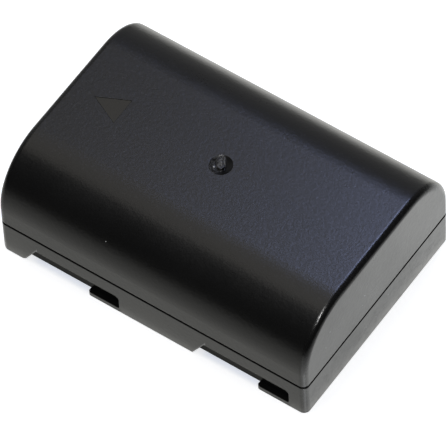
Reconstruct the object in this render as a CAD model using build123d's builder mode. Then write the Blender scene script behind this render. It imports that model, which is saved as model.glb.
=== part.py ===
from build123d import *
import os

# Rechargeable two-cell camera battery, in millimetres.
# +Z is up, -X is the terminal end that goes in first, and the origin is at the middle of the base.
# The case is designed round its two cells, so its outside sizes are worked out from theirs.

# Cells
CELL_DIAMETER = 18.3
CELL_LENGTH = 50.0            # over the positive button
CELL_GAP = 2.3                # between the two cells
CELL_SIDE_CLEARANCE = 0.65    # cell to side wall and to shoulder
CELL_FLOOR_CLEARANCE = 0.75
CELL_EDGE = 0.7               # drawn edge of the closed, negative end
CRIMP_EDGE = 0.6              # rolled edge of the positive end
BUTTON_RADIUS = 3.9
BUTTON_RISE = 0.5             # button above the crimped rim
BUTTON_SLOPE = 0.3            # the button widens by this towards its foot
BEAD_POSITION = 3.4           # rolled groove, measured from the positive end
BEAD_HALF_WIDTH = 0.9
BEAD_DEPTH = 0.6

# Case walls and outside edges
WALL = 1.4
FLOOR = 1.4
TERMINAL_BAY = 8.0            # front wall to the cells, for the board and contacts
CORNER_RADIUS = 1.2           # upright corners and the rims of the end walls
BASE_EDGE_CHAMFER = 0.15
LEAD_IN_RADIUS = 1.8          # lower edge of the terminal end
INNER_CORNER_RADIUS = 0.4

# Parting line: a tongue on the lower case, welded into a rebate in the upper case
SEAM_HEIGHT = 7.65
SEAM_GAP = 0.6                # open shadow line between the two rims
TONGUE_THICKNESS = 0.7
TONGUE_HEIGHT = 1.2           # above the parting line
TONGUE_CLEARANCE = 0.1

# L-shaped guide slots in both sides of the lower case
SLOT_FRONT_MARGIN = 4.7       # case end to the foot of the first ramp
SLOT_REAR_MARGIN = 3.4        # case end to the closed end of the last slot
SLOT_RAMP = 2.6
SLOT_MOUTH = 10.4             # ramp top to the free end of the lip
SLOT_LIP_LENGTH = 6.6
SLOT_LIP_THICKNESS = 1.05
SLOT_HEIGHT = 4.35
SLOT_DEPTH = 1.5
SLOT_BACK_WALL = 1.2
FIRST_FOOT_RADIUS = 1.8       # eases the first ramp on to its guide
LAST_FOOT_RADIUS = 0.3
SLOT_END_RADIUS = 0.8         # upper corner of the closed end
SLOT_POCKET_RADIUS = 0.5      # lower corner of the closed end
SLOT_LIP_RADIUS = 0.45
LIP_NOSE_RADIUS = 0.8         # outer corner of the lip's free end, seen from above

# Gate dimple and arrow in the top face
DIMPLE_RADIUS = 2.05
DIMPLE_DEPTH = 0.85           # of the bowl, without the stub of the gate
GATE_RADIUS = 0.7
GATE_SETBACK = 0.3            # top of the stub below the top face
GATE_SLOPE = 0.15
ARROW_MARGIN = 5.4            # case end to the tip
ARROW_LENGTH = 5.75
ARROW_BASE = 5.5
ARROW_DEPTH = 0.1

# Ribs inside the case
RIB_THICKNESS = 1.2
RIB_COUNT = 3
RIB_INSET = 7.0               # cell end to the first rib
RIB_CLEARANCE = 0.15          # cell to the curved seats
RIB_SETBACK = 0.4             # rib tops below the rim of the lower case
DIVIDER_CLEARANCE = 0.35      # cell to the rib between the cells
WEB_WIDTH = 12.0              # webs of the upper case, over the valley between the cells
WEB_DEPTH = 3.6
WEB_NOTCH_CLEARANCE = 0.5     # round the mid-point strip

# Sheet goods
STRIP_THICKNESS = 0.2
STRIP_WIDTH = 5.0
STRIP_BEND_RADIUS = 0.4
STRIP_TAIL = 3.0              # length of a strip below the middle of its cell
STRIP_LEG_SETBACK = 0.6       # legs below the top edge of the board
STRIP_FOOT = 2.4
WELD_SLIT_WIDTH = 0.7
WELD_SLIT_LENGTH = 3.6
SERIES_STRIP_OVERHANG = 3.2   # past the middle of each cell
SERIES_STRIP_HEIGHT = 7.0
MIDPOINT_WIDTH = 1.9
MIDPOINT_TAIL = 2.0           # below the middle of the cells
MIDPOINT_TOP_CLEARANCE = 0.3  # under the top wall
MIDPOINT_FOOT = 2.0           # overlap on the board
PAPER_THICKNESS = 0.2
PAPER_MARGIN = 2.1            # to the side walls
PAPER_HEADROOM = 0.2          # under the bends of the strips
PAPER_CORNER = 4.0            # cut corners
RING_OUTER_CLEARANCE = 0.9    # inside the outer edge of the cell
RING_INNER_CLEARANCE = 0.7    # round the button
REAR_PAD_THICKNESS = 0.8
REAR_PAD_WIDTH = 30.0
REAR_PAD_HEIGHT = 12.0
SHOULDER_PAD_CLEARANCE = 0.05
SHOULDER_PAD_START = 25.0     # degrees from upright
SHOULDER_PAD_END = 60.0
SHOULDER_PAD_INSET = 6.0      # from the cell ends

# Circuit board and its contacts
BOARD_THICKNESS = 0.8
BOARD_WIDTH = 32.0
BOARD_HEADROOM = 3.1          # board to the top wall
BOARD_CORNER = 3.0            # cut corners
BOARD_STANDOFF = 2.2          # front wall to the board
GUIDE_GRIP = 1.0              # how far the guides reach over the board
GUIDE_WALL = 1.0
GUIDE_CLEARANCE = 0.1
CONTACT_COUNT = 4
CONTACT_PITCH = 5.0
CONTACT_WINDOW_WIDTH = 2.6
CONTACT_WINDOW_SILL = 2.0     # above the base
CONTACT_WINDOW_HEAD = 1.65    # below the parting line
CONTACT_WINDOW_CORNER = 0.3   # cut corners
CONTACT_CLEARANCE = 0.25
CONTACT_RECESS = 0.9          # contact face behind the end of the case
CONTACT_THICKNESS = 0.3
CONTACT_BEND_RADIUS = 0.35
CONTACT_FOOT = 1.2

# Components on the cell side of the board, placed from the middle of its lower edge
CHIP_DRAFT = 5.0
LEAD_WIDTH = 0.3
LEAD_LENGTH = 0.6
LEAD_THICKNESS = 0.2
PROTECTION_CHIP_SIZE = (3.0, 3.0, 1.0)
PROTECTION_CHIP_PLACE = (0.0, 9.4)
SWITCH_SIZE = (3.0, 4.4, 1.0)
SWITCH_OFFSET = 7.6           # to each side of the middle
SWITCH_RISE = 8.0
SWITCH_LEAD_COUNT = 4
PROTECTION_LEAD_COUNT = 3
LEAD_PITCH = 0.65
CHIP_CAP_LENGTH = 0.3         # metal ends of the chip parts
CHIP_CAP_RISE = 0.03
FUSE_SIZE = (3.2, 1.6, 0.6)
FUSE_PLACE = (-4.6, 13.2)
THERMISTOR_SIZE = (1.6, 0.8, 0.8)
THERMISTOR_PLACE = (0.0, 2.6)
RESISTOR_SIZE = (1.6, 0.8, 0.45)
RESISTOR_RISE = 5.2
RESISTOR_PITCH = 2.6
RESISTOR_COUNT = 4
CAPACITOR_SIZE = (1.6, 0.8, 0.8)
CAPACITOR_RISE = 13.2
CAPACITOR_START = 2.4
CAPACITOR_PITCH = 2.6
CAPACITOR_COUNT = 2

OVERCUT = 1.0                 # how far a cut runs past the face it opens

# Sizes that follow
cell_radius = CELL_DIAMETER / 2
rear_stack = STRIP_THICKNESS + PAPER_THICKNESS + REAR_PAD_THICKNESS
inner_length = TERMINAL_BAY + CELL_LENGTH + rear_stack
inner_width = 2 * CELL_DIAMETER + CELL_GAP + 2 * CELL_SIDE_CLEARANCE
case_length = inner_length + 2 * WALL
case_width = inner_width + 2 * WALL
cell_axis = FLOOR + CELL_FLOOR_CLEARANCE + cell_radius
cell_side = (CELL_DIAMETER + CELL_GAP) / 2
inner_top = cell_axis + cell_radius + CELL_SIDE_CLEARANCE
case_height = inner_top + WALL
inner_shoulder = cell_radius + CELL_SIDE_CLEARANCE
shoulder_radius = inner_shoulder + WALL

front_end = -case_length / 2
front_wall = front_end + WALL
rear_wall = -front_wall
cell_front = front_wall + TERMINAL_BAY
cell_rear = cell_front + CELL_LENGTH
skirt_bottom = SEAM_HEIGHT + SEAM_GAP / 2
land_top = SEAM_HEIGHT - SEAM_GAP / 2
tongue_top = SEAM_HEIGHT + TONGUE_HEIGHT
rib_top = land_top - RIB_SETBACK
rib_span = CELL_LENGTH - 2 * RIB_INSET
rib_places = [cell_front + RIB_INSET + rib_span * i / (RIB_COUNT - 1) for i in range(RIB_COUNT)]

slot_length = SLOT_RAMP + SLOT_MOUTH + SLOT_LIP_LENGTH
slot_feet = {
    front_end + SLOT_FRONT_MARGIN: FIRST_FOOT_RADIUS,
    -front_end - SLOT_REAR_MARGIN - slot_length: LAST_FOOT_RADIUS,
}

board_front = front_wall + BOARD_STANDOFF
board_back = board_front + BOARD_THICKNESS
board_top = inner_top - BOARD_HEADROOM
strip_leg = board_top - STRIP_LEG_SETBACK
paper_width = inner_width - 2 * PAPER_MARGIN
paper_top = strip_leg - STRIP_BEND_RADIUS - PAPER_HEADROOM
midpoint_run = inner_top - MIDPOINT_TOP_CLEARANCE - STRIP_THICKNESS / 2
contact_window_height = SEAM_HEIGHT - CONTACT_WINDOW_HEAD - CONTACT_WINDOW_SILL
contact_width = CONTACT_WINDOW_WIDTH - 2 * CONTACT_CLEARANCE

os.makedirs("parts", exist_ok=True)


def save(builder, name):
    """Label a finished piece and write it to its own file."""
    builder.part.label = name
    export_step(builder.part, f"parts/{name}.step")


def slot_outline(start, foot_radius):
    """Draw the side view of one guide slot, from the foot of its ramp to its closed end."""
    lip_end = start + SLOT_RAMP + SLOT_MOUTH
    closed_end = start + slot_length
    corners = [
        (start - SLOT_RAMP, -OVERCUT, 0),
        (start - SLOT_RAMP, 0, 0),
        (start, 0, foot_radius),
        (start + SLOT_RAMP, SLOT_HEIGHT, 0),
        (closed_end, SLOT_HEIGHT, SLOT_END_RADIUS),
        (closed_end, SLOT_LIP_THICKNESS, SLOT_POCKET_RADIUS),
        (lip_end, SLOT_LIP_THICKNESS, SLOT_LIP_RADIUS),
        (lip_end, 0, SLOT_LIP_RADIUS),
        (lip_end + SLOT_LIP_LENGTH / 2, 0, 0),
        (lip_end + SLOT_LIP_LENGTH / 2, -OVERCUT, 0),
    ]
    with BuildLine() as outline:
        FilletPolyline(*[(x, z) for x, z, _ in corners], radius=[r for _, _, r in corners], close=True)
    make_face(outline.edges())


def cell_circles(clearance):
    """Draw the two cell sections, grown by a clearance, in an end view."""
    with Locations((-cell_side, cell_axis), (cell_side, cell_axis)):
        Circle(cell_radius + clearance, mode=Mode.SUBTRACT)


# Upper case: a rounded-shoulder shell that covers the cells
with BuildPart() as upper_case:
    with BuildSketch(Plane.YZ.offset(front_end)) as outer_section:
        with Locations((0, skirt_bottom)):
            Rectangle(case_width, case_height - skirt_bottom, align=(Align.CENTER, Align.MIN))
        fillet(outer_section.vertices().group_by(Axis.Y)[-1], shoulder_radius)
    extrude(amount=case_length)
    end_faces = upper_case.faces().sort_by(Axis.X)
    rims = end_faces[0].edges() + end_faces[-1].edges()
    fillet(rims.filter_by(lambda edge: edge.center().Z > skirt_bottom + SEAM_GAP), CORNER_RADIUS)

    # Inside, with a rebate round the rim for the tongue of the lower case
    with BuildSketch(Plane.YZ.offset(front_wall)) as inner_section:
        with Locations((0, skirt_bottom)):
            Rectangle(inner_width, inner_top - skirt_bottom, align=(Align.CENTER, Align.MIN))
        fillet(inner_section.vertices().group_by(Axis.Y)[-1], inner_shoulder)
    extrude(amount=inner_length, mode=Mode.SUBTRACT)
    rebate = TONGUE_THICKNESS + TONGUE_CLEARANCE
    with BuildSketch(Plane.XY.offset(skirt_bottom)):
        RectangleRounded(inner_length + 2 * rebate, inner_width + 2 * rebate, INNER_CORNER_RADIUS + rebate)
    extrude(amount=tongue_top - skirt_bottom, mode=Mode.SUBTRACT)

    # Webs over the valley between the cells, notched for the mid-point strip
    for place in rib_places:
        with BuildSketch(Plane.YZ.offset(place - RIB_THICKNESS / 2)):
            with Locations((0, inner_top)):
                Rectangle(WEB_WIDTH, WEB_DEPTH, align=(Align.CENTER, Align.MAX))
                Rectangle(MIDPOINT_WIDTH + 2 * WEB_NOTCH_CLEARANCE, 2 * WEB_DEPTH, mode=Mode.SUBTRACT)
            cell_circles(RIB_CLEARANCE)
        extrude(amount=RIB_THICKNESS)

    # Dimple in the middle of the top: a bowl, with the stub of the mould's gate left in it
    with BuildSketch(Plane.XZ):
        bowl_radius = (DIMPLE_RADIUS**2 + DIMPLE_DEPTH**2) / (2 * DIMPLE_DEPTH)
        bowl_centre = case_height - DIMPLE_DEPTH + bowl_radius
        gate_foot = (GATE_RADIUS, bowl_centre - (bowl_radius**2 - GATE_RADIUS**2) ** 0.5)
        gate_top = case_height - GATE_SETBACK
        with BuildLine():
            RadiusArc((DIMPLE_RADIUS, case_height), gate_foot, bowl_radius)
            Polyline(
                gate_foot,
                (GATE_RADIUS - GATE_SLOPE, gate_top),
                (0, gate_top),
                (0, case_height + OVERCUT),
                (DIMPLE_RADIUS, case_height + OVERCUT),
                (DIMPLE_RADIUS, case_height),
            )
        make_face()
    revolve(axis=Axis.Z, mode=Mode.SUBTRACT)

    # Sunk arrow that points to the terminal end
    arrow_tip = front_end + ARROW_MARGIN
    with BuildSketch(Plane.XY.offset(case_height)):
        Polygon(
            (arrow_tip, 0),
            (arrow_tip + ARROW_LENGTH, -ARROW_BASE / 2),
            (arrow_tip + ARROW_LENGTH, ARROW_BASE / 2),
            align=None,
        )
    extrude(amount=-ARROW_DEPTH, mode=Mode.SUBTRACT)
save(upper_case, "upper_case")

# Lower case: a tray with the guide slots, the contact windows and the seats for what it holds
with BuildPart() as lower_case:
    with BuildSketch(Plane.XY.offset(land_top)):
        RectangleRounded(case_length, case_width, CORNER_RADIUS)
    extrude(amount=-land_top)
    chamfer(lower_case.faces().sort_by(Axis.Z)[0].edges(), BASE_EDGE_CHAMFER)

    # Rounded lower edge of the terminal end, which leads the pack into its bay
    with BuildSketch(Plane.XZ):
        with Locations((front_end, 0)):
            Rectangle(2 * LEAD_IN_RADIUS, 2 * LEAD_IN_RADIUS)
        with Locations((front_end + LEAD_IN_RADIUS, LEAD_IN_RADIUS)):
            Circle(LEAD_IN_RADIUS, mode=Mode.SUBTRACT)
    extrude(amount=case_width, both=True, mode=Mode.SUBTRACT)

    # Inside, and the tongue round the rim
    with BuildSketch(Plane.XY.offset(FLOOR)):
        RectangleRounded(inner_length, inner_width, INNER_CORNER_RADIUS)
    extrude(amount=land_top - FLOOR, mode=Mode.SUBTRACT)
    with BuildSketch(Plane.XY.offset(land_top)):
        RectangleRounded(
            inner_length + 2 * TONGUE_THICKNESS,
            inner_width + 2 * TONGUE_THICKNESS,
            INNER_CORNER_RADIUS + TONGUE_THICKNESS,
        )
        RectangleRounded(inner_length, inner_width, INNER_CORNER_RADIUS, mode=Mode.SUBTRACT)
    extrude(amount=tongue_top - land_top)

    # Cradle ribs and the rib between the cells
    for place in rib_places:
        with BuildSketch(Plane.YZ.offset(place - RIB_THICKNESS / 2)):
            with Locations((0, FLOOR)):
                Rectangle(inner_width, rib_top - FLOOR, align=(Align.CENTER, Align.MIN))
            cell_circles(RIB_CLEARANCE)
        extrude(amount=RIB_THICKNESS)
    with BuildSketch(Plane.XY.offset(FLOOR)):
        with Locations(((cell_front + cell_rear) / 2, 0)):
            Rectangle(rib_span, CELL_GAP - 2 * DIVIDER_CLEARANCE)
    extrude(amount=rib_top - FLOOR)

    # Upright guides for the edges of the circuit board
    with BuildSketch(Plane.XY.offset(FLOOR)):
        guide_inside = BOARD_WIDTH / 2 - GUIDE_GRIP
        guide_width = inner_width / 2 - guide_inside
        with Locations(((board_front + board_back) / 2, 0)):
            with GridLocations(0, 2 * guide_inside + guide_width, 1, 2):
                Rectangle(BOARD_THICKNESS + 2 * GUIDE_CLEARANCE + 2 * GUIDE_WALL, guide_width)
            Rectangle(
                BOARD_THICKNESS + 2 * GUIDE_CLEARANCE, BOARD_WIDTH + 2 * GUIDE_CLEARANCE, mode=Mode.SUBTRACT
            )
    extrude(amount=rib_top - FLOOR)

    # Guide slots, each with a wall behind it
    slot_face = case_width / 2 - SLOT_DEPTH
    with BuildSketch(Plane.XY.offset(FLOOR)):
        back_width = inner_width / 2 - slot_face + SLOT_BACK_WALL
        for start in slot_feet:
            with Locations((start + slot_length / 2, 0)):
                with GridLocations(0, inner_width - back_width, 1, 2):
                    Rectangle(slot_length + 2 * SLOT_BACK_WALL, back_width)
    extrude(amount=SLOT_HEIGHT + SLOT_BACK_WALL - FLOOR)
    for side in (1, -1):
        with BuildSketch(Plane.XZ.offset(side * slot_face)):
            for start, foot_radius in slot_feet.items():
                slot_outline(start, foot_radius)
        extrude(amount=side * (SLOT_DEPTH + OVERCUT), mode=Mode.SUBTRACT)

    # Rounded noses of the lips
    with BuildSketch(Plane.XY.offset(-OVERCUT)):
        for start in slot_feet:
            nose = start + SLOT_RAMP + SLOT_MOUTH
            for side in (1, -1):
                with Locations((nose, side * case_width / 2)):
                    Rectangle(2 * LIP_NOSE_RADIUS, 2 * LIP_NOSE_RADIUS)
                with Locations((nose + LIP_NOSE_RADIUS, side * (case_width / 2 - LIP_NOSE_RADIUS))):
                    Circle(LIP_NOSE_RADIUS, mode=Mode.SUBTRACT)
    extrude(amount=OVERCUT + (SLOT_LIP_THICKNESS + SLOT_HEIGHT) / 2, mode=Mode.SUBTRACT)

    # Windows in front of the contacts
    with BuildSketch(Plane.YZ.offset(front_end - OVERCUT)) as windows:
        with Locations((0, CONTACT_WINDOW_SILL + contact_window_height / 2)):
            with GridLocations(CONTACT_PITCH, 0, CONTACT_COUNT, 1):
                Rectangle(CONTACT_WINDOW_WIDTH, contact_window_height)
        chamfer(windows.vertices(), CONTACT_WINDOW_CORNER)
    extrude(amount=OVERCUT + WALL, mode=Mode.SUBTRACT)
save(lower_case, "lower_case")

# Cells: sleeved steel cans with a beaded and crimped positive end, laid head to tail
rim_place = CELL_LENGTH - BUTTON_RISE
bead_place = CELL_LENGTH - BEAD_POSITION
cell_outline = [
    (0, 0),
    (0, cell_radius - CELL_EDGE),
    (CELL_EDGE, cell_radius),
    (bead_place - BEAD_HALF_WIDTH, cell_radius),
    (bead_place, cell_radius - BEAD_DEPTH),
    (bead_place + BEAD_HALF_WIDTH, cell_radius),
    (rim_place - CRIMP_EDGE, cell_radius),
    (rim_place, cell_radius - CRIMP_EDGE),
    (rim_place, BUTTON_RADIUS + BUTTON_SLOPE),
    (CELL_LENGTH, BUTTON_RADIUS),
    (CELL_LENGTH, 0),
]
cell_planes = {
    "left": Plane(origin=(cell_rear, -cell_side, cell_axis), x_dir=(-1, 0, 0), z_dir=(0, 1, 0)),
    "right": Plane(origin=(cell_front, cell_side, cell_axis), x_dir=(1, 0, 0), z_dir=(0, -1, 0)),
}
for hand, cell_plane in cell_planes.items():
    with BuildPart() as cell:
        with BuildSketch(cell_plane):
            with BuildLine():
                Polyline(*cell_outline, close=True)
            make_face()
        revolve(axis=Axis(cell_plane.origin, cell_plane.x_dir))
    save(cell, f"cell_{hand}")

    # Paper ring that keeps the strip off the crimped rim
    ring_plane = Plane(cell_plane.origin + cell_plane.x_dir * rim_place, z_dir=cell_plane.x_dir)
    with BuildPart() as cell_ring:
        with BuildSketch(ring_plane):
            Circle(cell_radius - RING_OUTER_CLEARANCE)
            Circle(BUTTON_RADIUS + RING_INNER_CLEARANCE, mode=Mode.SUBTRACT)
        extrude(amount=PAPER_THICKNESS)
    save(cell_ring, f"cell_ring_{hand}")

# Strip that joins the cells in series at the closed end
with BuildPart() as series_strip:
    with BuildSketch(Plane.YZ.offset(cell_rear)):
        with Locations((0, cell_axis)):
            Rectangle(2 * (cell_side + SERIES_STRIP_OVERHANG), SERIES_STRIP_HEIGHT)
            with GridLocations(2 * cell_side, 0, 2, 1):
                Rectangle(WELD_SLIT_WIDTH, WELD_SLIT_LENGTH, mode=Mode.SUBTRACT)
    extrude(amount=STRIP_THICKNESS)
save(series_strip, "series_strip")

# Strips from the free ends of the cells to the board
for name, side in (("positive_strip", -1), ("negative_strip", 1)):
    with BuildPart() as strip:
        plate = cell_front - STRIP_THICKNESS / 2
        foot = board_back + STRIP_THICKNESS / 2
        with BuildSketch(Plane.XZ.offset(-side * cell_side)):
            with BuildLine():
                FilletPolyline(
                    (plate, cell_axis - STRIP_TAIL),
                    (plate, strip_leg),
                    (foot, strip_leg),
                    (foot, strip_leg - STRIP_FOOT),
                    radius=STRIP_BEND_RADIUS,
                )
            trace(line_width=STRIP_THICKNESS)
        extrude(amount=STRIP_WIDTH / 2, both=True)
        with BuildSketch(Plane.YZ.offset(cell_front)):
            with Locations((side * cell_side, cell_axis)):
                Rectangle(WELD_SLIT_WIDTH, WELD_SLIT_LENGTH)
        extrude(amount=-STRIP_THICKNESS, mode=Mode.SUBTRACT)
    save(strip, name)

# Strip from the series joint, along the valley between the cells, to the board
with BuildPart() as midpoint_strip:
    tail = cell_rear - STRIP_THICKNESS / 2
    foot = board_back + STRIP_THICKNESS / 2
    with BuildSketch(Plane.XZ):
        with BuildLine():
            FilletPolyline(
                (tail, cell_axis - MIDPOINT_TAIL),
                (tail, midpoint_run),
                (foot, midpoint_run),
                (foot, board_top - MIDPOINT_FOOT),
                radius=STRIP_BEND_RADIUS,
            )
        trace(line_width=STRIP_THICKNESS)
    extrude(amount=MIDPOINT_WIDTH / 2, both=True)
save(midpoint_strip, "midpoint_strip")

# Paper sheets over the strips at both ends of the cells
for name, place in (
    ("front_insulator", cell_front - STRIP_THICKNESS - PAPER_THICKNESS),
    ("rear_insulator", cell_rear + STRIP_THICKNESS),
):
    with BuildPart() as insulator:
        with BuildSketch(Plane.YZ.offset(place)) as sheet:
            with Locations((0, FLOOR)):
                Rectangle(paper_width, paper_top - FLOOR, align=(Align.CENTER, Align.MIN))
            chamfer(sheet.vertices().group_by(Axis.Y)[-1], PAPER_CORNER)
        extrude(amount=PAPER_THICKNESS)
    save(insulator, name)

# Foam pad between the cells and the closed end
with BuildPart() as rear_pad:
    with BuildSketch(Plane.YZ.offset(rear_wall - REAR_PAD_THICKNESS)):
        with Locations((0, cell_axis)):
            Rectangle(REAR_PAD_WIDTH, REAR_PAD_HEIGHT)
    extrude(amount=REAR_PAD_THICKNESS)
save(rear_pad, "rear_pad")

# Curved adhesive pads between each cell and its shoulder
for hand, side in (("left", -1), ("right", 1)):
    with BuildPart() as shoulder_pad:
        pad_inside = cell_radius + SHOULDER_PAD_CLEARANCE
        pad_outside = inner_shoulder - SHOULDER_PAD_CLEARANCE
        pad_centre = (side * cell_side, cell_axis)
        first_angle = 90 - side * SHOULDER_PAD_START
        sweep_angle = side * (SHOULDER_PAD_START - SHOULDER_PAD_END)
        with BuildSketch(Plane.YZ.offset(cell_front + SHOULDER_PAD_INSET)):
            with BuildLine():
                outer = CenterArc(pad_centre, pad_outside, first_angle, sweep_angle)
                inner = CenterArc(pad_centre, pad_inside, first_angle, sweep_angle)
                Line(outer @ 0, inner @ 0)
                Line(outer @ 1, inner @ 1)
            make_face()
        extrude(amount=CELL_LENGTH - 2 * SHOULDER_PAD_INSET)
    save(shoulder_pad, f"shoulder_pad_{hand}")

# Circuit board, upright behind the terminal wall
with BuildPart() as circuit_board:
    with BuildSketch(Plane.YZ.offset(board_front)) as board:
        with Locations((0, FLOOR)):
            Rectangle(BOARD_WIDTH, board_top - FLOOR, align=(Align.CENTER, Align.MIN))
        chamfer(board.vertices().group_by(Axis.Y)[-1], BOARD_CORNER)
    extrude(amount=BOARD_THICKNESS)
save(circuit_board, "circuit_board")

# Stamped contacts, folded from strip, that stand in the windows of the terminal wall
contact_names = ("contact_positive", "contact_data", "contact_thermistor", "contact_negative")
for index, name in enumerate(contact_names):
    with BuildPart() as contact:
        contact_side = (index - (CONTACT_COUNT - 1) / 2) * CONTACT_PITCH
        face = front_end + CONTACT_RECESS + CONTACT_THICKNESS / 2
        low_leg = CONTACT_WINDOW_SILL + CONTACT_CLEARANCE + CONTACT_THICKNESS / 2
        high_leg = CONTACT_WINDOW_SILL + contact_window_height - CONTACT_CLEARANCE - CONTACT_THICKNESS / 2
        foot = board_front - CONTACT_THICKNESS / 2
        with BuildSketch(Plane.XZ.offset(-contact_side)):
            with BuildLine():
                FilletPolyline(
                    (board_front, low_leg),
                    (face, low_leg),
                    (face, high_leg),
                    (foot, high_leg),
                    (foot, high_leg + CONTACT_FOOT),
                    radius=CONTACT_BEND_RADIUS,
                )
            trace(line_width=CONTACT_THICKNESS)
        extrude(amount=contact_width / 2, both=True)
    save(contact, name)


def flat_lead_chip(place, size, leads):
    """Make a moulded chip with flat leads along its two upright sides, on the back of the board."""
    width, height, depth = size
    with BuildPart() as chip:
        with BuildSketch(Plane.YZ.offset(board_back)):
            with Locations((place[0], FLOOR + place[1])):
                Rectangle(width, height)
        extrude(amount=depth, taper=CHIP_DRAFT)
        with BuildSketch(Plane.YZ.offset(board_back)):
            with Locations((place[0], FLOOR + place[1])):
                with GridLocations(0, LEAD_PITCH, 1, leads):
                    Rectangle(width + 2 * LEAD_LENGTH, LEAD_WIDTH)
        extrude(amount=LEAD_THICKNESS)
    return chip


def capped_chips(places, size):
    """Make ceramic chip parts with metal end caps, one at each place on the back of the board."""
    length, width, depth = size
    body_length = length - 2 * CHIP_CAP_LENGTH
    with BuildPart() as chips:
        with BuildSketch(Plane.YZ.offset(board_back)):
            with Locations(*[(y, FLOOR + rise) for y, rise in places]):
                Rectangle(body_length, width - 2 * CHIP_CAP_RISE)
        extrude(amount=depth - CHIP_CAP_RISE)
        with BuildSketch(Plane.YZ.offset(board_back)):
            with Locations(*[(y, FLOOR + rise) for y, rise in places]):
                with GridLocations(body_length + CHIP_CAP_LENGTH, 0, 2, 1):
                    Rectangle(CHIP_CAP_LENGTH, width)
        extrude(amount=depth)
    return chips


resistor_start = -RESISTOR_PITCH * (RESISTOR_COUNT - 1) / 2
resistor_places = [(resistor_start + RESISTOR_PITCH * i, RESISTOR_RISE) for i in range(RESISTOR_COUNT)]
capacitor_places = [(CAPACITOR_START + CAPACITOR_PITCH * i, CAPACITOR_RISE) for i in range(CAPACITOR_COUNT)]
save(flat_lead_chip(PROTECTION_CHIP_PLACE, PROTECTION_CHIP_SIZE, PROTECTION_LEAD_COUNT), "protection_chip")
save(flat_lead_chip((-SWITCH_OFFSET, SWITCH_RISE), SWITCH_SIZE, SWITCH_LEAD_COUNT), "charge_switch")
save(flat_lead_chip((SWITCH_OFFSET, SWITCH_RISE), SWITCH_SIZE, SWITCH_LEAD_COUNT), "discharge_switch")
save(capped_chips([FUSE_PLACE], FUSE_SIZE), "chip_fuse")
save(capped_chips([THERMISTOR_PLACE], THERMISTOR_SIZE), "thermistor")
save(capped_chips(resistor_places, RESISTOR_SIZE), "chip_resistors")
save(capped_chips(capacitor_places, CAPACITOR_SIZE), "chip_capacitors")
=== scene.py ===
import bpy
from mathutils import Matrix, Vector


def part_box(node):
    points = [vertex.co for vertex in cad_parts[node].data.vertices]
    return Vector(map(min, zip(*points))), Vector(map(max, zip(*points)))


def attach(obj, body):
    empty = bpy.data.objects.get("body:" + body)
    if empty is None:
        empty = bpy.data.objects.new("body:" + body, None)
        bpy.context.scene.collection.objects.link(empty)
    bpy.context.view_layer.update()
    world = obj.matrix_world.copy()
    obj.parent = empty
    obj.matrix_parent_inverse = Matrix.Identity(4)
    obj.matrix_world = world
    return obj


bl_info = {
    "name": "Camera Battery Finish",
    "version": (1, 0, 0),
    "blender": (4, 5, 0),
    "location": "View3D > Sidebar > Battery",
    "description": "Gives a two-cell camera battery its moulded finish, its small marks and its stage",
    "category": "Object",
}

import math

import bmesh
import bpy
from bpy.props import FloatProperty, FloatVectorProperty, PointerProperty
from bpy.types import Operator, Panel, PropertyGroup
from mathutils import Matrix, Vector, noise

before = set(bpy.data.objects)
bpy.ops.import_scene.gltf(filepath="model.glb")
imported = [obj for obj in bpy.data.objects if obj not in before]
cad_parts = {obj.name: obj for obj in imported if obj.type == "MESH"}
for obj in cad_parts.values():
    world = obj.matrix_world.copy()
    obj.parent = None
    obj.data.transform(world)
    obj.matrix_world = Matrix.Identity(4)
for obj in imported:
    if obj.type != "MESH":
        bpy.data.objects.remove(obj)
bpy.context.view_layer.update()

MM = 0.001
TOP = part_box("upper_case")[1].z
FRONT_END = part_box("upper_case")[0].x
CASE_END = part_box("upper_case")[1].x
CASE_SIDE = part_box("upper_case")[1].y
BODY = "root"
SLOT_SPANS = ((-26.3 * MM, -6.7 * MM), (8.0 * MM, 27.6 * MM))


# Shader maths

class Socket:
    """A shader output that takes part in Python arithmetic by adding Math nodes."""

    def __init__(self, graph, output):
        self.graph = graph
        self.output = output

    def _math(self, operation, first, second=None):
        values = {0: first} if second is None else {0: first, 1: second}
        return self.graph.node("ShaderNodeMath", {"operation": operation}, values)

    def __add__(self, other):
        return self._math("ADD", self, other)

    def __radd__(self, other):
        return self._math("ADD", other, self)

    def __sub__(self, other):
        return self._math("SUBTRACT", self, other)

    def __rsub__(self, other):
        return self._math("SUBTRACT", other, self)

    def __mul__(self, other):
        return self._math("MULTIPLY", self, other)

    def __rmul__(self, other):
        return self._math("MULTIPLY", other, self)

    def __truediv__(self, other):
        return self._math("DIVIDE", self, other)

    def __pow__(self, other):
        return self._math("POWER", self, other)

    def __lt__(self, other):
        return self._math("LESS_THAN", self, other)

    def __gt__(self, other):
        return self._math("GREATER_THAN", self, other)

    def __abs__(self):
        return self._math("ABSOLUTE", self)

    def at_least(self, other):
        return self._math("MAXIMUM", self, other)

    def at_most(self, other):
        return self._math("MINIMUM", self, other)


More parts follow.
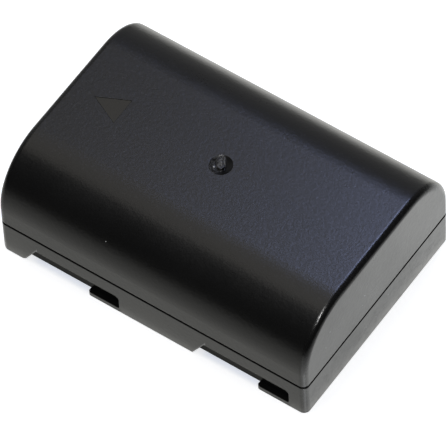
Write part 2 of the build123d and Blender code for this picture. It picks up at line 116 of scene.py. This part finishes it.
class Graph:
    """The node tree of one material or world."""

    def __init__(self, tree):
        self.tree = tree

    def node(self, kind, settings=None, inputs=None, output=0):
        """Add a node, set it up, then give its inputs values or links. Returns one of its outputs, if any."""
        node = self.tree.nodes.new(kind)
        for name, value in (settings or {}).items():
            if name == "stops":
                self._set_stops(node.color_ramp, value)
            else:
                setattr(node, name, value)
        for key, value in (inputs or {}).items():
            self.feed(node.inputs[key], value)
        return Socket(self, node.outputs[output]) if node.outputs else None

    def feed(self, target, value):
        """Link a socket to an input, or set the input to a plain value."""
        if isinstance(value, Socket):
            self.tree.links.new(value.output, target)
        else:
            target.default_value = value

    def _set_stops(self, ramp, stops):
        while len(ramp.elements) < len(stops):
            ramp.elements.new(0.5)
        for element, (place, colour) in zip(ramp.elements, stops):
            element.position = place
            element.color = colour

    def place(self, turn=(0, 0, 0), scale=(1, 1, 1)):
        """Object coordinates, turned and scaled about the origin of the object."""
        spot = self.node("ShaderNodeTexCoord", output="Object")
        return self.node("ShaderNodeMapping", {}, {"Vector": spot, "Rotation": turn, "Scale": scale})

    def rays(self, *kinds):
        """Which kind of ray is being traced, one number for each kind asked for."""
        path = self.node("ShaderNodeLightPath").output.node
        return [Socket(self, path.outputs[f"Is {kind} Ray"]) for kind in kinds]

    def axes(self):
        """Object coordinates as three numbers."""
        spot = self.node("ShaderNodeTexCoord", output="Object")
        split = self.node("ShaderNodeSeparateXYZ", {}, {"Vector": spot}).output.node
        return [Socket(self, output) for output in split.outputs]

    def grain(self, size, detail=2.0, rough=0.5, spot=None):
        """Noise whose features are about one size across, from 0 to 1."""
        values = {
            "Vector": spot or self.place(),
            "Scale": 1 / size,
            "Detail": detail,
            "Roughness": rough,
        }
        return self.node("ShaderNodeTexNoise", {}, values)

    def specks(self, places):
        """Round specks at places given in millimetres with their radii, 1 inside and 0 outside."""
        spot = self.node("ShaderNodeTexCoord", output="Object")
        covered = 0.0
        for *place, radius in places:
            values = {0: spot, 1: [c * MM for c in place]}
            gap = self.node("ShaderNodeVectorMath", {"operation": "DISTANCE"}, values, "Value")
            covered = (gap < radius * MM).at_least(covered)
        return covered

    def blend(self, factor, first, second):
        """Mix two colours."""
        return self.node("ShaderNodeMix", {"data_type": "RGBA"}, {0: factor, 6: first, 7: second}, 2)

    def soft_step(self, value, low, high):
        """Ease from 0 to 1 as a value goes from low to high."""
        settings = {"interpolation_type": "SMOOTHSTEP"}
        return self.node("ShaderNodeMapRange", settings, {"Value": value, "From Min": low, "From Max": high})


class Finish(Graph):
    """A material with one Principled shader."""

    def __init__(self, name, **constants):
        self.material = bpy.data.materials.new(name)
        self.material.use_nodes = True
        super().__init__(self.material.node_tree)
        self.shader = self.tree.nodes["Principled BSDF"]
        for key, value in constants.items():
            self.shader.inputs[key.replace("_", " ")].default_value = value

    def set(self, **inputs):
        for key, value in inputs.items():
            self.feed(self.shader.inputs[key.replace("_", " ")], value)

    def bump(self, height, depth, strength=1.0, edge=0.0):
        """Raise the surface by a height from 0 to 1, times a depth in metres, and ease its sharp edges."""
        values = {"Height": height, "Distance": depth, "Strength": strength}
        if edge:
            values["Normal"] = self.node("ShaderNodeBevel", {"samples": 8}, {"Radius": edge})
        self.set(Normal=self.node("ShaderNodeBump", {}, values))


def rgb(colour):
    return (*colour, 1.0)


# Settings that a user would change

class CaseSettings(PropertyGroup):
    """Finish of the moulded case."""

    black: FloatVectorProperty(
        name="Black", description="Colour of the moulded plastic",
        subtype="COLOR", size=3, default=(0.003, 0.003, 0.003),
    )
    roughness: FloatProperty(
        name="Roughness", description="Gloss of the textured skin", default=0.31, subtype="FACTOR",
    )
    grain_size: FloatProperty(
        name="Grain size", description="Width of the pits left by the textured mould",
        default=0.7 * MM, unit="LENGTH",
    )
    grain_depth: FloatProperty(
        name="Grain depth", description="Depth of those pits", default=0.033 * MM, precision=6, unit="LENGTH",
    )
    edge: FloatProperty(
        name="Edge", description="Softening of the moulded edges",
        default=0.12 * MM, precision=5, unit="LENGTH",
    )
    dust_colour: FloatVectorProperty(
        name="Dust", description="Colour of the dust and lint", subtype="COLOR", size=3,
        default=(0.5, 0.51, 0.52),
    )


class StageSettings(PropertyGroup):
    """Camera, floor and lights."""

    aim: FloatVectorProperty(
        name="Aim", description="Point that the camera looks at", subtype="TRANSLATION", size=3,
        default=(2.486 * MM, -3.346 * MM, 11.278 * MM),
    )
    distance: FloatProperty(
        name="Distance", description="Camera to that point", default=1.05496, unit="LENGTH",
    )
    azimuth: FloatProperty(
        name="Azimuth", description="Camera's turn from the left side towards the plain end",
        default=math.radians(37.148), subtype="ANGLE",
    )
    elevation: FloatProperty(
        name="Elevation", description="Camera's height above the horizon",
        default=math.radians(55.271), subtype="ANGLE",
    )
    roll: FloatProperty(
        name="Roll", description="Tilt of the camera about its view", default=math.radians(-3.27),
        subtype="ANGLE",
    )
    lens: FloatProperty(name="Lens", description="Focal length", default=508.05, subtype="DISTANCE_CAMERA")
    floor_size: FloatProperty(name="Floor", description="Width of the floor", default=8.0, unit="LENGTH")
    floor_white: FloatVectorProperty(
        name="Floor white", description="Colour of the floor", subtype="COLOR", size=3,
        default=(0.88, 0.885, 0.9),
    )
    floor_lift: FloatVectorProperty(
        name="Floor lift", description="Lifts the floor to white where it is seen", subtype="COLOR", size=3,
        default=(0.72, 0.725, 0.735),
    )
    # Painted shadow: a lower, bluer lift in the mouths of the slots, so the floor shows darker there
    slot_shadow_lift: FloatVectorProperty(
        name="Slot lift", description="The same lift in the mouths of the slots", subtype="COLOR", size=3,
        default=(0.53, 0.56, 0.62),
    )
    paper_tint: FloatVectorProperty(
        name="Paper", description="Colour of the lit paper in the gloss", subtype="COLOR", size=3,
        default=(1.0, 1.0, 0.955),
    )
    paper_end_tint: FloatVectorProperty(
        name="Paper past the end", description="Colour of that paper past the plain end",
        subtype="COLOR", size=3, default=(0.985, 1.0, 0.99),
    )
    paper_glow: FloatProperty(
        name="Paper glow", description="Brightness of the lit paper in the gloss", default=1.15,
    )
    paper_slope: FloatProperty(
        name="Paper slope", description="How fast the paper brightens towards the far side, per metre",
        default=14.0,
    )
    paper_near: FloatProperty(
        name="Paper at the near side", description="How much darker the paper is past the near side",
        default=0.03,
    )
    paper_end: FloatProperty(
        name="Paper at the end", description="How much brighter the paper is past the plain end", default=0.2,
    )
    paper_bow: FloatProperty(
        name="Paper bow", description="How much brighter still it is past the corners of that end",
        default=0.2,
    )
    paper_fade: FloatProperty(
        name="Paper fade", description="How much of that brightness is lost further out", default=0.75,
    )
    paper_far: FloatProperty(
        name="Paper, far side", description="Brightness of the floor towards the far horizon", default=0.25,
    )
    paper_rim: FloatProperty(
        name="Paper at the foot", description="How much brighter the paper is close round the case",
        default=0.5,
    )
    paper_shade: FloatVectorProperty(
        name="Paper shade", description="Where the paper gets its light under the slots, out from the case",
        subtype="TRANSLATION", size=2, default=(-0.6 * MM, 0.9 * MM),
    )
    paper_dark: FloatProperty(
        name="Paper dark", description="How much light the paper loses under the slots",
        default=0.85, subtype="FACTOR",
    )
    paper_reach: FloatVectorProperty(
        name="Paper reach", description="Where the lit paper starts and ends to fade, from the middle",
        subtype="TRANSLATION", size=2, default=(0.046, 0.192),
    )
    paper_covered: FloatProperty(
        name="Paper, covered", description="Brightness of the floor below the case", default=0.2,
    )
    fill: FloatProperty(name="Fill", description="Even light from all round", default=0.55)
    room_far: FloatProperty(name="Room, far side", description="What gloss mirrors there", default=0.53)
    room_near: FloatProperty(name="Room, near side", description="What gloss mirrors there", default=0.06)


# Small helpers for pieces

def settings():
    return bpy.context.scene.battery_case, bpy.context.scene.battery_stage


def dress(node, material):
    """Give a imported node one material."""
    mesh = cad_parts[node].data
    mesh.materials.clear()
    mesh.materials.append(material)


def add_piece(name, shape, material):
    """Turn a bmesh into a finished piece that rides on the case."""
    mesh = bpy.data.meshes.new(name)
    shape.to_mesh(mesh)
    shape.free()
    piece = bpy.data.objects.new(name, mesh)
    bpy.context.scene.collection.objects.link(piece)
    mesh.materials.append(material)
    mesh.shade_smooth()
    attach(piece, BODY)
    return piece


# Finishes

DIMPLE_RADIUS = 2.05 * MM
DIMPLE_DEPTH = 0.85 * MM
RAMP_SLOPE = 4.35 / 2.6
CORNER_REACH = CASE_END + CASE_SIDE - 0.703 * MM
ARROW_TIP = FRONT_END + 5.4 * MM
ARROW_LENGTH = 5.75 * MM
ARROW_HALF_BASE = 2.75 * MM
TOP_SKIN = 1.2 * MM
SMEAR_SIZE = 9 * MM
MOTTLE_SIZE = 1.6 * MM
TEAR_SIZE = 0.4 * MM
SPARKLE_SIZE = 0.4 * MM
SCUFF_SIZE = 1.4 * MM
SCUFF_END = (30.5 * MM, 30.9 * MM)
SCUFF_TOP = (7.5 * MM, 6.5 * MM)
RIM_BAND = (CASE_END - 1.3 * MM, CASE_END - 0.8 * MM)
RIM_END = CASE_END - 0.03 * MM
RAMP_RUN = 2.9 * MM
# Grey of the pale lines along the upright corners and of the painted highlights on the ramp edges
PALE_LINE_GREY = (0.18, 0.18, 0.18)
SCUFF_GREY = (0.09, 0.09, 0.088)
# Grey of the painted sparkle on the top face
SPARKLE_GREY = (0.02, 0.02, 0.021)
TORN_GREY = (0.09, 0.09, 0.09)
TORN_PALE = (0.14, 0.14, 0.136)

# Dust specks, and one pale speck on the wall of the dimple: place and radius in millimetres
SPECKS = (
    (-9.6, -20.0, 16.8, 0.1),
    # A pale speck on the wall of the dimple
    (-1.0, -0.63, 21.9, 0.17),
    (31.0, -3.7, 13.5, 0.13),
    (31.0, -4.4, 11.5, 0.08),
    (31.0, -13.9, 15.5, 0.11),
    (31.0, -15.2, 12.4, 0.1),
    (31.0, -0.6, 3.4, 0.1),
    (31.0, -3.4, 3.7, 0.09),
    (31.0, 3.1, 5.4, 0.09),
)


def case_plastic(name, case, upper):
    """Black moulded plastic with a fine textured skin, handling smears, painted sparkle on the top, a pale
    line along the upright corners, painted highlights on the slot ramps and a little dust.
    """
    finish = Finish(name, IOR=1.5)
    grain = finish.grain(case.grain_size, 2.0, 0.6)
    fine = finish.grain(case.grain_size * 0.45, 1.0)
    smear = finish.grain(SMEAR_SIZE, 3.0, 0.55, finish.place(turn=(0, 0, 0.6), scale=(0.45, 1, 1)))
    mottle = finish.grain(MOTTLE_SIZE, 2.0)
    x, y, z = finish.axes()
    skin = 1.0
    smooth = 0.0
    # A pale line along the upright corners
    corner_line_and_ramp_highlight = finish.soft_step(abs(x) + abs(y), CORNER_REACH - 0.04 * MM, CORNER_REACH) * 0.5
    if upper:
        on_top = z > TOP - TOP_SKIN
        in_dimple = (x * x + y * y < DIMPLE_RADIUS**2) * on_top
        along = x - ARROW_TIP
        in_arrow = (along > 0) * (along < ARROW_LENGTH) * on_top
        smooth = in_arrow * (abs(y) < along * (ARROW_HALF_BASE / ARROW_LENGTH))
        skin = 1 - in_dimple.at_least(smooth)
        # Painted sparkle: paler flecks only on the top face, standing in for glints of light on the textured
        # skin
        painted_sparkle = finish.soft_step(finish.grain(SPARKLE_SIZE, 1.0), 0.52, 0.8)
        painted_sparkle = painted_sparkle * finish.soft_step(z, TOP - 0.6 * MM, TOP - 0.1 * MM) * skin
        torn = finish.soft_step(finish.grain(TEAR_SIZE, 3.0, 0.7), 0.4, 0.62)
        torn = torn * in_dimple * finish.soft_step(x + y * 0.2, 0.7 * MM, -0.6 * MM)
    else:
        on_side = abs(y) > CASE_SIDE - 0.3 * MM
        # Painted highlight along the edges of the slot ramps, where they would catch the light
        for start, _ in SLOT_SPANS:
            run = x - start
            inside = run * RAMP_SLOPE - z
            on_ramp = (run > 0) * (run < RAMP_RUN) * (inside < 0.3 * MM) * on_side
            corner_line_and_ramp_highlight = corner_line_and_ramp_highlight.at_least(on_ramp * finish.soft_step(inside, -0.6 * MM, -0.1 * MM))
    polish = finish.soft_step(abs(x), *RIM_BAND) * (abs(x) < RIM_END)
    rubbed = finish.grain(SCUFF_SIZE, 4.0, 0.65, finish.place(scale=(1, 0.6, 1)))
    scuff = finish.soft_step(rubbed, 0.44, 0.66)
    scuff = scuff * finish.soft_step(x, *SCUFF_END) * finish.soft_step(z, *SCUFF_TOP)
    dust = finish.specks(SPECKS)
    darker = rgb(tuple(c * 0.8 for c in case.black))
    lighter = rgb(tuple(c * 1.25 for c in case.black))
    tone = finish.blend(smear, darker, lighter)
    tone = finish.blend(scuff * 0.5, tone, rgb(SCUFF_GREY))
    # Pale corner lines and painted highlights on the ramp edges
    tone = finish.blend(corner_line_and_ramp_highlight, tone, rgb(PALE_LINE_GREY))
    if upper:
        # Painted sparkle on the top face
        tone = finish.blend(painted_sparkle * 0.8, tone, rgb(SPARKLE_GREY))
        tone = finish.blend(torn * 0.8, tone, rgb(TORN_GREY))
    finish.set(
        Base_Color=finish.blend(dust, tone, rgb(case.dust_colour)),
        Roughness=case.roughness + (smear - 0.5) * 0.1 + (mottle - 0.5) * 0.04 + (fine - 0.5) * 0.1 * skin
        + dust * 0.4 + scuff * 0.1 - smooth * 0.16 - polish * 0.05,
    )
    finish.bump((grain * 0.7 + fine * 0.3) * skin, case.grain_depth, edge=case.edge)
    return finish.material


def torn_plastic(case):
    """Whitened, broken plastic of the gate stub."""
    finish = Finish("torn_plastic", Roughness=0.7, IOR=1.5)
    tear = finish.grain(TEAR_SIZE, 3.0, 0.7)
    pale = finish.soft_step(tear, 0.42, 0.64)
    finish.set(Base_Color=finish.blend(pale, rgb(case.black), rgb(TORN_PALE)))
    finish.bump(tear, 0.08 * MM)
    return finish.material


def rolled_metal(name, light, dark, roughness, lines):
    """Sheet metal with fine rolling lines along one axis."""
    finish = Finish(name, Metallic=1.0)
    streak = finish.grain(0.12 * MM, 3.0, 0.6, finish.place(scale=lines))
    stain = finish.grain(2.5 * MM, 2.0)
    finish.set(
        Base_Color=finish.blend(streak * 0.6 + stain * 0.4, rgb(dark), rgb(light)),
        Roughness=roughness + (streak - 0.5) * 0.15,
    )
    finish.bump(streak, 0.004 * MM)
    return finish.material


def shrink_sleeve():
    """Plain shrink film over a cell."""
    finish = Finish("shrink_sleeve", Coat_Weight=0.4)
    ripple = finish.grain(6 * MM, 2.0, 0.5, finish.place(scale=(0.3, 1, 1)))
    finish.set(
        Base_Color=finish.blend(ripple, rgb((0.05, 0.11, 0.2)), rgb((0.07, 0.15, 0.26))),
        Roughness=0.32 + (ripple - 0.5) * 0.1,
    )
    finish.bump(ripple, 0.05 * MM)
    return finish.material


def board_laminate():
    """Green solder resist over a woven board."""
    finish = Finish("board_laminate")
    threads = {"Vector": finish.place(), "Scale": 1 / (0.6 * MM)}
    weave = finish.node("ShaderNodeTexChecker", {}, threads, "Fac")
    cloud = finish.grain(3 * MM)
    finish.set(
        Base_Color=finish.blend(cloud, rgb((0.012, 0.07, 0.03)), rgb((0.018, 0.1, 0.045))),
        Roughness=0.34 + weave * 0.05,
    )
    finish.bump(weave, 0.004 * MM)
    return finish.material


def moulded_chip():
    """Dull black epoxy."""
    finish = Finish("moulded_chip")
    speck = finish.grain(0.15 * MM)
    finish.set(
        Base_Color=finish.blend(speck, rgb((0.008, 0.008, 0.009)), rgb((0.016, 0.016, 0.017))),
        Roughness=0.55 + (speck - 0.5) * 0.2,
    )
    finish.bump(speck, 0.006 * MM)
    return finish.material


def fired_ceramic():
    """Tan ceramic of the small chip parts."""
    finish = Finish("fired_ceramic")
    speck = finish.grain(0.2 * MM)
    finish.set(
        Base_Color=finish.blend(speck, rgb((0.22, 0.15, 0.09)), rgb((0.3, 0.22, 0.14))),
        Roughness=0.5 + (speck - 0.5) * 0.2,
    )
    finish.bump(speck, 0.005 * MM)
    return finish.material


def insulating_paper():
    """Calendered insulating paper with short fibres."""
    finish = Finish("insulating_paper")
    fibre = finish.grain(0.5 * MM, 4.0, 0.7)
    finish.set(
        Base_Color=finish.blend(fibre, rgb((0.4, 0.34, 0.22)), rgb((0.55, 0.49, 0.36))),
        Roughness=0.75 + (fibre - 0.5) * 0.2,
    )
    finish.bump(fibre, 0.01 * MM)
    return finish.material


def closed_foam():
    """Dark foam with fine cells."""
    finish = Finish("closed_foam")
    cells = finish.node("ShaderNodeTexVoronoi", {}, {"Vector": finish.place(), "Scale": 1 / (0.35 * MM)})
    finish.set(
        Base_Color=finish.blend(cells, rgb((0.02, 0.02, 0.022)), rgb((0.05, 0.05, 0.054))),
        Roughness=0.85 + cells * 0.1,
    )
    finish.bump(cells, 0.03 * MM)
    return finish.material


# Operators, one for each piece or group of like pieces

class BATTERY_OT_case(Operator):
    """Dress the two halves of the case"""

    bl_idname = "battery.case"
    bl_label = "Case"

    def execute(self, context):
        case, _ = settings()
        dress("upper_case", case_plastic("upper_case_plastic", case, upper=True))
        dress("lower_case", case_plastic("lower_case_plastic", case, upper=False))
        return {"FINISHED"}


class BATTERY_OT_gate_stub(Operator):
    """Model the torn stub of the gate in the dimple"""

    bl_idname = "battery.gate_stub"
    bl_label = "Gate stub"

    place: FloatVectorProperty(
        name="Place", description="Middle of the torn ridge, seen from above", subtype="TRANSLATION", size=2,
        default=(-0.35 * MM, 0.6 * MM),
    )
    turn: FloatProperty(
        name="Turn", description="Bearing of the ridge from the length of the case",
        default=math.radians(119.4), subtype="ANGLE",
    )
    half_length: FloatProperty(
        name="Half length", description="Along the ridge", default=1.3 * MM, unit="LENGTH",
    )
    half_width: FloatProperty(
        name="Half width", description="Across the ridge", default=0.9 * MM, unit="LENGTH",
    )
    height: FloatProperty(
        name="Height", description="Above the bowl of the dimple", default=0.68 * MM, unit="LENGTH",
    )
    setback: FloatProperty(
        name="Setback", description="Broken top below the top face", default=0.07 * MM, unit="LENGTH",
    )

    def execute(self, context):
        case, _ = settings()
        bowl_radius = (DIMPLE_RADIUS**2 + DIMPLE_DEPTH**2) / (2 * DIMPLE_DEPTH)
        shape = bmesh.new()
        bmesh.ops.create_icosphere(shape, subdivisions=5, radius=1.0)
        for vertex in shape.verts:
            tear = noise.noise(vertex.co * 2.3) * 0.6 + noise.noise(vertex.co * 6.1) * 0.4
            rise = vertex.co.z * (1 + 0.5 * tear) if vertex.co.z > 0 else vertex.co.z * 0.1
            vertex.co.x *= self.half_length
            vertex.co.y *= self.half_width
            vertex.co.z = rise * self.height
        bmesh.ops.rotate(shape, cent=(0, 0, 0), matrix=Matrix.Rotation(self.turn, 3, "Z"), verts=shape.verts)
        bmesh.ops.translate(shape, vec=(*self.place, TOP - DIMPLE_DEPTH), verts=shape.verts)
        for vertex in shape.verts:
            bowl = bowl_radius - (bowl_radius**2 - vertex.co.xy.length_squared) ** 0.5
            broken = TOP - self.setback * (1.5 + noise.noise(vertex.co / (0.25 * MM)))
            vertex.co.z = min(vertex.co.z + bowl, broken)
        piece = add_piece("gate_stub", shape, torn_plastic(case))
        return {"FINISHED"}


class BATTERY_OT_cells(Operator):
    """Dress the cells and the paper, foam and strips round them"""

    bl_idname = "battery.cells"
    bl_label = "Cells"

    def execute(self, context):
        sleeve = shrink_sleeve()
        paper = insulating_paper()
        foam = closed_foam()
        nickel = rolled_metal("rolled_nickel", (0.66, 0.64, 0.59), (0.45, 0.43, 0.39), 0.32, (0.06, 1, 1))
        for hand in ("left", "right"):
            dress(f"cell_{hand}", sleeve)
            dress(f"cell_ring_{hand}", paper)
            dress(f"shoulder_pad_{hand}", foam)
        for end in ("front", "rear"):
            dress(f"{end}_insulator", paper)
        dress("rear_pad", foam)
        for strip in ("series", "positive", "negative", "midpoint"):
            dress(f"{strip}_strip", nickel)
        return {"FINISHED"}


class BATTERY_OT_board(Operator):
    """Dress the circuit board, its components and the contacts"""

    bl_idname = "battery.board"
    bl_label = "Board and contacts"

    def execute(self, context):
        gold = rolled_metal("plated_gold", (0.86, 0.6, 0.22), (0.66, 0.43, 0.14), 0.24, (1, 1, 0.08))
        epoxy = moulded_chip()
        ceramic = fired_ceramic()
        dress("circuit_board", board_laminate())
        for contact_shadow in ("positive", "data", "thermistor", "negative"):
            dress(f"contact_{contact_shadow}", gold)
        for chip in ("protection_chip", "charge_switch", "discharge_switch"):
            dress(chip, epoxy)
        for chip in ("chip_fuse", "thermistor", "chip_resistors", "chip_capacitors"):
            dress(chip, ceramic)
        return {"FINISHED"}


# Where the floor's brightness in the gloss changes, out from the case unless said otherwise
PAST_END = 2 * MM
PAST_SIDE = 1 * MM
PAPER_CLOSE = (0.2 * MM, 1.3 * MM)
SLOPE_REACH = 2.5 * MM
BOW_MIDDLE = 6 * MM
BOW_WIDTH = 20 * MM
FADE_START = 5 * MM
FADE_END = 34 * MM
# Painted contact shadow in the paper past the plain end
CONTACT_START = 4.5 * MM
CONTACT_END = 1.5 * MM
CONTACT_LOSS = 0.16
NEAR_FALL = 24 * MM
NEAR_POWER = -0.4
FAR_FLOOR = (0.06, 0.12)
COVERED_SLOT = 1.3 * MM
COVERED = (-0.3 * MM, -0.6 * MM)
# Where the painted shadow in the mouths of the slots lies
MOUTH_SHADE = (-1.2 * MM, 0.2 * MM)
MOUTH_EASE = 3 * MM
LIP_EASE = (5 * MM, 8 * MM)
PAPER_TOP = 2


class BATTERY_OT_stage(Operator):
    """Set up the floor, the lights and the camera"""

    bl_idname = "battery.stage"
    bl_label = "Stage"

    def execute(self, context):
        _, stage = settings()
        context.scene.view_settings.view_transform = "Standard"
        self.floor(context, stage)
        self.room(context, stage)
        self.lamps(context)
        self.camera(context, stage)
        return {"FINISHED"}

    def floor(self, context, stage):
        """A white floor to the camera, and to glossy rays a painted paper that is brightest at the case."""
        shape = bmesh.new()
        bmesh.ops.create_grid(shape, x_segments=1, y_segments=1, size=stage.floor_size / 2)
        mesh = bpy.data.meshes.new("floor")
        shape.to_mesh(mesh)
        shape.free()
        floor = bpy.data.objects.new("floor", mesh)
        context.scene.collection.objects.link(floor)
        material = bpy.data.materials.new("white_floor")
        material.use_nodes = True
        graph = Graph(material.node_tree)
        graph.tree.nodes.clear()
        camera, glossy, through = graph.rays("Camera", "Glossy", "Transmission")
        x, y, _ = graph.axes()
        half_length, half_width = CASE_END, CASE_SIDE
        gap = (abs(x) - half_length).at_least(abs(y) - half_width)
        under_slot = 0.0
        painted_mouth_shadow = 0.0
        for start, end in SLOT_SPANS:
            under_slot = ((x > start) * (x < end)).at_least(under_slot)
            opens = graph.soft_step(x, start, start + MOUTH_EASE)
            closes = graph.soft_step(x, end - LIP_EASE[0], end - LIP_EASE[1])
            painted_mouth_shadow = (opens * closes).at_least(painted_mouth_shadow)
        # Painted shade in the paper under the slots
        beside = 1 - under_slot * (1 - graph.soft_step(gap, *stage.paper_shade)) * stage.paper_dark
        # Painted light: the paper brighter close round the case
        close = 1 - graph.soft_step(gap, *PAPER_CLOSE)
        past_end = graph.soft_step(x, half_length - PAST_END, half_length + PAST_END)
        beyond = graph.soft_step((x * x + y * y) ** 0.5, *stage.paper_reach)
        past_side = graph.soft_step(y, PAST_SIDE - half_width, -PAST_SIDE - half_width)
        slope_end = half_width + SLOPE_REACH
        across = y.at_most(slope_end).at_least(-slope_end)
        bow = ((across - BOW_MIDDLE) / BOW_WIDTH) ** 2
        out = graph.soft_step(x, half_length + FADE_START, half_length + FADE_END)
        # Painted contact shadow in the paper past the plain end
        contact_shadow = graph.soft_step(x, half_length + CONTACT_START, half_length + CONTACT_END) * CONTACT_LOSS
        level = stage.paper_glow + across * stage.paper_slope - past_side * stage.paper_near
        at_end = stage.paper_end + bow * stage.paper_bow - out * stage.paper_fade - contact_shadow
        level = level + past_end * at_end
        level = (level + close * stage.paper_rim) * beside * (1 - beyond)
        level = level * ((0 - y).at_least(NEAR_FALL) / NEAR_FALL) ** NEAR_POWER
        level = level.at_least(graph.soft_step(y, *FAR_FLOOR) * stage.paper_far)
        # Painted shade: the paper dark below the case
        covered = graph.soft_step(gap + under_slot * COVERED_SLOT, *COVERED)
        level = level * (1 - covered) + covered * stage.paper_covered
        black = rgb((0, 0, 0))
        brightest = rgb(tuple(c * PAPER_TOP for c in stage.paper_tint))
        brightest_end = rgb(tuple(c * PAPER_TOP for c in stage.paper_end_tint))
        tint = graph.blend(past_end, brightest, brightest_end)
        paper = graph.blend(level / PAPER_TOP, black, tint)
        # Painted shadow on the floor in the mouths of the slots, as the camera sees it
        painted_mouth_shadow = painted_mouth_shadow * (1 - graph.soft_step(gap, *MOUTH_SHADE))
        lift = graph.blend(painted_mouth_shadow, rgb(stage.floor_lift), rgb(stage.slot_shadow_lift))
        shown = graph.blend(camera.at_least(through), black, lift)
        paint = graph.node("ShaderNodeBsdfDiffuse", {}, {"Color": rgb(stage.floor_white)})
        glow = graph.node("ShaderNodeEmission", {}, {"Color": shown})
        lit = graph.node("ShaderNodeAddShader", {}, {0: paint, 1: glow})
        mirrored = graph.node("ShaderNodeEmission", {}, {"Color": paper})
        upper = graph.node("ShaderNodeMixShader", {}, {0: glossy, 1: lit, 2: mirrored})
        under = graph.node("ShaderNodeNewGeometry", output="Backfacing")
        clear = graph.node("ShaderNodeBsdfTransparent")
        both = graph.node("ShaderNodeMixShader", {}, {0: under, 1: upper, 2: clear})
        graph.node("ShaderNodeOutputMaterial", {}, {"Surface": both})
        mesh.materials.append(material)

    def room(self, context, stage):
        """White where the camera looks past the floor, a dim room in the gloss, and even fill light."""
        world = bpy.data.worlds.new("room")
        context.scene.world = world
        world.use_nodes = True
        graph = Graph(world.node_tree)
        graph.tree.nodes.clear()
        camera, glossy, through = graph.rays("Camera", "Glossy", "Transmission")
        open_view = camera.at_least(through)
        way = graph.node("ShaderNodeTexCoord", output="Generated")
        turn = math.radians(45)
        far = (-math.sin(turn), math.cos(turn), 0)
        facing = graph.node("ShaderNodeVectorMath", {"operation": "DOT_PRODUCT"}, {0: way, 1: far}, "Value")
        mirrored = stage.room_near + (facing * 0.5 + 0.5) ** 4 * (stage.room_far - stage.room_near)
        level = open_view + (1 - open_view) * (glossy * mirrored + (1 - glossy) * stage.fill)
        shine = graph.node("ShaderNodeBackground", {}, {"Strength": level})
        graph.node("ShaderNodeOutputWorld", {}, {"Surface": shine})

    def lamps(self, context):
        """Softbox overhead, a small bluish window light on the far side and a glint lamp by the camera."""
        lamp(context, "softbox", bearing=-72, height=74, distance=0.35, size=(0.342, 0.28), radiance=0.75,
             colour=(1.0, 0.955, 0.87))
        lamp(context, "window", bearing=-8.5, height=60, distance=0.36, size=(0.085, 0.085), radiance=12.3,
             colour=(0.48, 0.58, 1.0))
        glint = lamp(context, "glint", bearing=149, height=61, distance=0.6, size=(0.05, 0.22), radiance=58,
                     colour=(1.0, 1.0, 1.0))
        glint.visible_diffuse = False

    def camera(self, context, stage):
        data = bpy.data.cameras.new("camera")
        camera = bpy.data.objects.new("camera", data)
        context.scene.collection.objects.link(camera)
        data.lens = stage.lens
        data.clip_start = 0.01
        data.clip_end = 100.0
        flat = math.cos(stage.elevation)
        back = Vector((
            math.sin(stage.azimuth) * flat, -math.cos(stage.azimuth) * flat, math.sin(stage.elevation),
        ))
        turned = (-back).to_track_quat("-Z", "Y").to_matrix().to_4x4() @ Matrix.Rotation(stage.roll, 4, "Z")
        camera.matrix_world = Matrix.Translation(Vector(stage.aim) + back * stage.distance) @ turned
        context.scene.camera = camera


def lamp(context, name, bearing, height, distance, size, radiance, colour):
    """Hang an area lamp by its bearing from +Y, its height in degrees and its distance from the case."""
    data = bpy.data.lights.new(name, "AREA")
    data.shape = "RECTANGLE"
    data.size, data.size_y = size
    data.energy = radiance * math.pi * size[0] * size[1]
    data.color = colour
    source = bpy.data.objects.new(name, data)
    context.scene.collection.objects.link(source)
    turn, rise = math.radians(bearing), math.radians(height)
    way = Vector((math.sin(turn) * math.cos(rise), math.cos(turn) * math.cos(rise), math.sin(rise)))
    centre = Vector((0, 0, TOP))
    facing = way.to_track_quat("Z", "Y").to_matrix().to_4x4()
    source.matrix_world = Matrix.Translation(centre + way * distance) @ facing
    source.visible_camera = False
    return source


class BATTERY_PT_panel(Panel):
    """Sidebar panel of the battery"""

    bl_idname = "BATTERY_PT_panel"
    bl_label = "Camera battery"
    bl_space_type = "VIEW_3D"
    bl_region_type = "UI"
    bl_category = "Battery"

    def draw(self, context):
        for step in OPERATORS:
            self.layout.operator(step.bl_idname)
        for group in (context.scene.battery_case, context.scene.battery_stage):
            box = self.layout.box()
            for name in group.__annotations__:
                box.prop(group, name)


OPERATORS = (
    BATTERY_OT_case,
    BATTERY_OT_gate_stub,
    BATTERY_OT_cells,
    BATTERY_OT_board,
    BATTERY_OT_stage,
)
CLASSES = (CaseSettings, StageSettings, *OPERATORS, BATTERY_PT_panel)


def register():
    for item in CLASSES:
        bpy.utils.register_class(item)
    bpy.types.Scene.battery_case = PointerProperty(type=CaseSettings)
    bpy.types.Scene.battery_stage = PointerProperty(type=StageSettings)


def unregister():
    del bpy.types.Scene.battery_stage
    del bpy.types.Scene.battery_case
    for item in reversed(CLASSES):
        bpy.utils.unregister_class(item)


def main():
    register()
    bpy.ops.battery.case()
    bpy.ops.battery.gate_stub()
    bpy.ops.battery.cells()
    bpy.ops.battery.board()
    bpy.ops.battery.stage()


if __name__ == "__main__":
    main()
